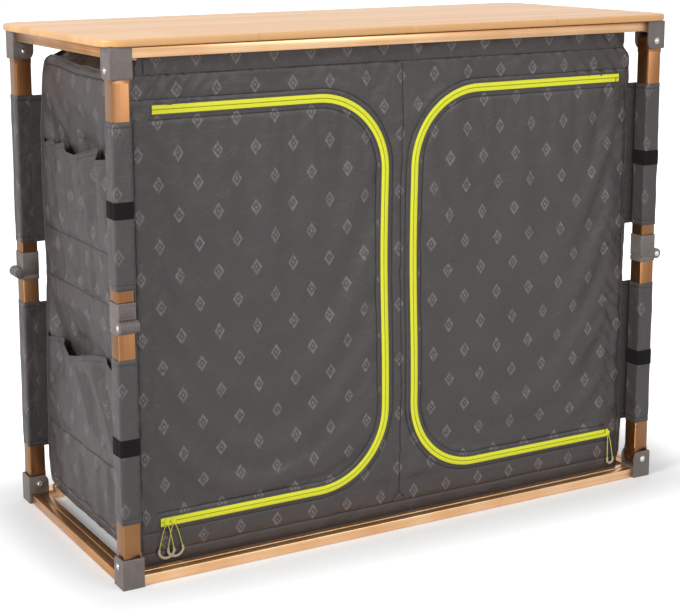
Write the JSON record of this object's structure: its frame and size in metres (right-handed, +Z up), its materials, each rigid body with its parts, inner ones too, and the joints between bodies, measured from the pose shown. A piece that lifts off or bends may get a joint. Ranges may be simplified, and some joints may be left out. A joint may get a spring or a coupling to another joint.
{
  "type": "folding camping cupboard",
  "caption": "Folding camping cupboard with a wooden top, elbow-jointed square tube legs and a zipped fabric body with side pockets.",
  "frame": {"origin": "on the ground, under the middle of the frame", "axes": "+X to the right of someone facing the doors, -Y towards that person, +Z up"},
  "size_m": [1.029, 0.4606, 0.8118],
  "materials": {
    "frame_tube": "copper anodised, satin",
    "fittings": "moulded, fine grain",
    "tabletop": "lacquered bamboo",
    "zip": "lime, satin",
    "boards": "cloth over board",
    "cloth": "woven polyester"
  },
  "bodies": {
    "base_frame": {"base_rail_front": "frame_tube", "base_rail_back": "frame_tube", "base_rail_left": "frame_tube", "base_rail_right": "frame_tube", "base_bracket_front_left": "fittings", "base_bracket_back_left": "fittings", "base_bracket_back_right": "fittings", "base_bracket_front_right": "fittings", "fabric_body": "cloth", "front_panel": "cloth", "shelf_left": "boards", "shelf_right": "boards", "floor_board_left": "boards", "floor_board_right": "boards", "base_tube_front": "frame_tube", "base_tube_back": "frame_tube"},
    "lower_leg_front_left": {"lower_leg_front_left": "frame_tube", "lower_elbow_front_left": "fittings", "lower_sleeve_front_left": "cloth"},
    "upper_leg_front_left": {"upper_leg_front_left": "frame_tube", "upper_elbow_front_left": "fittings", "upper_sleeve_front_left": "cloth"},
    "lock_button_front_left": {"lock_button_front_left": "fittings"},
    "lower_leg_back_left": {"lower_leg_back_left": "frame_tube", "lower_elbow_back_left": "fittings", "lower_sleeve_back_left": "cloth"},
    "upper_leg_back_left": {"upper_leg_back_left": "frame_tube", "upper_elbow_back_left": "fittings", "upper_sleeve_back_left": "cloth"},
    "lock_button_back_left": {"lock_button_back_left": "fittings"},
    "lower_leg_back_right": {"lower_leg_back_right": "frame_tube", "lower_elbow_back_right": "fittings", "lower_sleeve_back_right": "cloth"},
    "upper_leg_back_right": {"upper_leg_back_right": "frame_tube", "upper_elbow_back_right": "fittings", "upper_sleeve_back_right": "cloth"},
    "lock_button_back_right": {"lock_button_back_right": "fittings"},
    "lower_leg_front_right": {"lower_leg_front_right": "frame_tube", "lower_elbow_front_right": "fittings", "lower_sleeve_front_right": "cloth"},
    "upper_leg_front_right": {"upper_leg_front_right": "frame_tube", "upper_elbow_front_right": "fittings", "upper_sleeve_front_right": "cloth"},
    "lock_button_front_right": {"lock_button_front_right": "fittings"},
    "top_frame": {"top_rail_front": "frame_tube", "top_rail_back": "frame_tube", "top_rail_left": "frame_tube", "top_rail_right": "frame_tube", "top_bracket_front_left": "fittings", "top_bracket_back_left": "fittings", "top_bracket_back_right": "fittings", "top_bracket_front_right": "fittings", "tabletop": "tabletop", "top_batten_left": "frame_tube", "top_batten_right": "frame_tube"},
    "door_left": {"door_left": "cloth"},
    "door_right": {"door_right": "cloth"},
    "zip_slider_left_1": {"zip_slider_left_1": "zip"},
    "zip_slider_left_2": {"zip_slider_left_2": "zip"},
    "zip_slider_right": {"zip_slider_right": "zip"}
  },
  "joints": [
    {"name": "frame_fold", "type": "hinge", "parent": "base_frame", "child": "lower_leg_back_left", "pos_m": [-0.48525, 0.20275, 0.033], "axis": [0, 1, 0], "range_deg": [0, 90], "deforming": ["fabric_body", "front_panel", "door_left", "door_right", "shelf_left", "shelf_right"]},
    {"name": "elbow_back_left", "type": "hinge", "parent": "lower_leg_back_left", "child": "upper_leg_back_left", "pos_m": [-0.50375, 0.20275, 0.4], "axis": [0, 1, 0], "range_deg": [-180, 0]},
    {"name": "button_press_back_left", "type": "slide", "parent": "upper_leg_back_left", "child": "lock_button_back_left", "axis": [1, 0, 0], "range_m": [0, 0.002], "stiffness_N_per_m": 400, "springref_m": -0.001},
    {"name": "base_pivot_front_left", "type": "hinge", "parent": "base_frame", "child": "lower_leg_front_left", "pos_m": [-0.48525, -0.20275, 0.033], "axis": [-1, 0, 0], "range_deg": [0, 90]},
    {"name": "elbow_front_left", "type": "hinge", "parent": "lower_leg_front_left", "child": "upper_leg_front_left", "pos_m": [-0.48525, -0.22125, 0.4], "axis": [-1, 0, 0], "range_deg": [-180, 0]},
    {"name": "button_press_front_left", "type": "slide", "parent": "upper_leg_front_left", "child": "lock_button_front_left", "axis": [0, 1, 0], "range_m": [0, 0.002], "stiffness_N_per_m": 400, "springref_m": -0.001},
    {"name": "base_pivot_back_right", "type": "hinge", "parent": "base_frame", "child": "lower_leg_back_right", "pos_m": [0.48525, 0.20275, 0.033], "axis": [1, 0, 0], "range_deg": [0, 90]},
    {"name": "elbow_back_right", "type": "hinge", "parent": "lower_leg_back_right", "child": "upper_leg_back_right", "pos_m": [0.48525, 0.22125, 0.4], "axis": [1, 0, 0], "range_deg": [-180, 0]},
    {"name": "button_press_back_right", "type": "slide", "parent": "upper_leg_back_right", "child": "lock_button_back_right", "axis": [0, -1, 0], "range_m": [0, 0.002], "stiffness_N_per_m": 400, "springref_m": -0.001},
    {"name": "base_pivot_front_right", "type": "hinge", "parent": "base_frame", "child": "lower_leg_front_right", "pos_m": [0.48525, -0.20275, 0.033], "axis": [0, -1, 0], "range_deg": [0, 90]},
    {"name": "elbow_front_right", "type": "hinge", "parent": "lower_leg_front_right", "child": "upper_leg_front_right", "pos_m": [0.50375, -0.20275, 0.4], "axis": [0, -1, 0], "range_deg": [-180, 0]},
    {"name": "button_press_front_right", "type": "slide", "parent": "upper_leg_front_right", "child": "lock_button_front_right", "axis": [-1, 0, 0], "range_m": [0, 0.002], "stiffness_N_per_m": 400, "springref_m": -0.001},
    {"name": "top_pivot_back_left", "type": "hinge", "parent": "upper_leg_back_left", "child": "top_frame", "pos_m": [-0.48525, 0.20275, 0.767], "axis": [0, 1, 0], "range_deg": [0, 90]},
    {"name": "door_swing_left", "type": "hinge", "parent": "base_frame", "child": "door_left", "pos_m": [-0.43, -0.1835, 0.4], "axis": [0, 0, -1], "range_deg": [0, 110]},
    {"name": "door_swing_right", "type": "hinge", "parent": "base_frame", "child": "door_right", "pos_m": [0.43, -0.1835, 0.4], "axis": [0, 0, 1], "range_deg": [0, 110]},
    {"name": "slider_run_left_2", "type": "slide", "parent": "base_frame", "child": "zip_slider_left_2", "axis": [1, 0, 0], "range_m": [0, 0.24]},
    {"name": "slider_run_left_1", "type": "slide", "parent": "base_frame", "child": "zip_slider_left_1", "axis": [1, 0, 0], "range_m": [0, 0.24]},
    {"name": "slider_run_right", "type": "slide", "parent": "base_frame", "child": "zip_slider_right", "axis": [-1, 0, 0], "range_m": [0, 0.24]}
  ],
  "couplings": [
    {"joint": "elbow_back_left", "follows": "frame_fold", "ratio": -2},
    {"joint": "base_pivot_front_left", "follows": "frame_fold", "ratio": 1},
    {"joint": "elbow_front_left", "follows": "frame_fold", "ratio": -2},
    {"joint": "base_pivot_back_right", "follows": "frame_fold", "ratio": 1},
    {"joint": "elbow_back_right", "follows": "frame_fold", "ratio": -2},
    {"joint": "base_pivot_front_right", "follows": "frame_fold", "ratio": 1},
    {"joint": "elbow_front_right", "follows": "frame_fold", "ratio": -2},
    {"joint": "top_pivot_back_left", "follows": "frame_fold", "ratio": 1},
    {"joint": "slider_run_left_1", "follows": "slider_run_left_2", "ratio": 1}
  ]
}
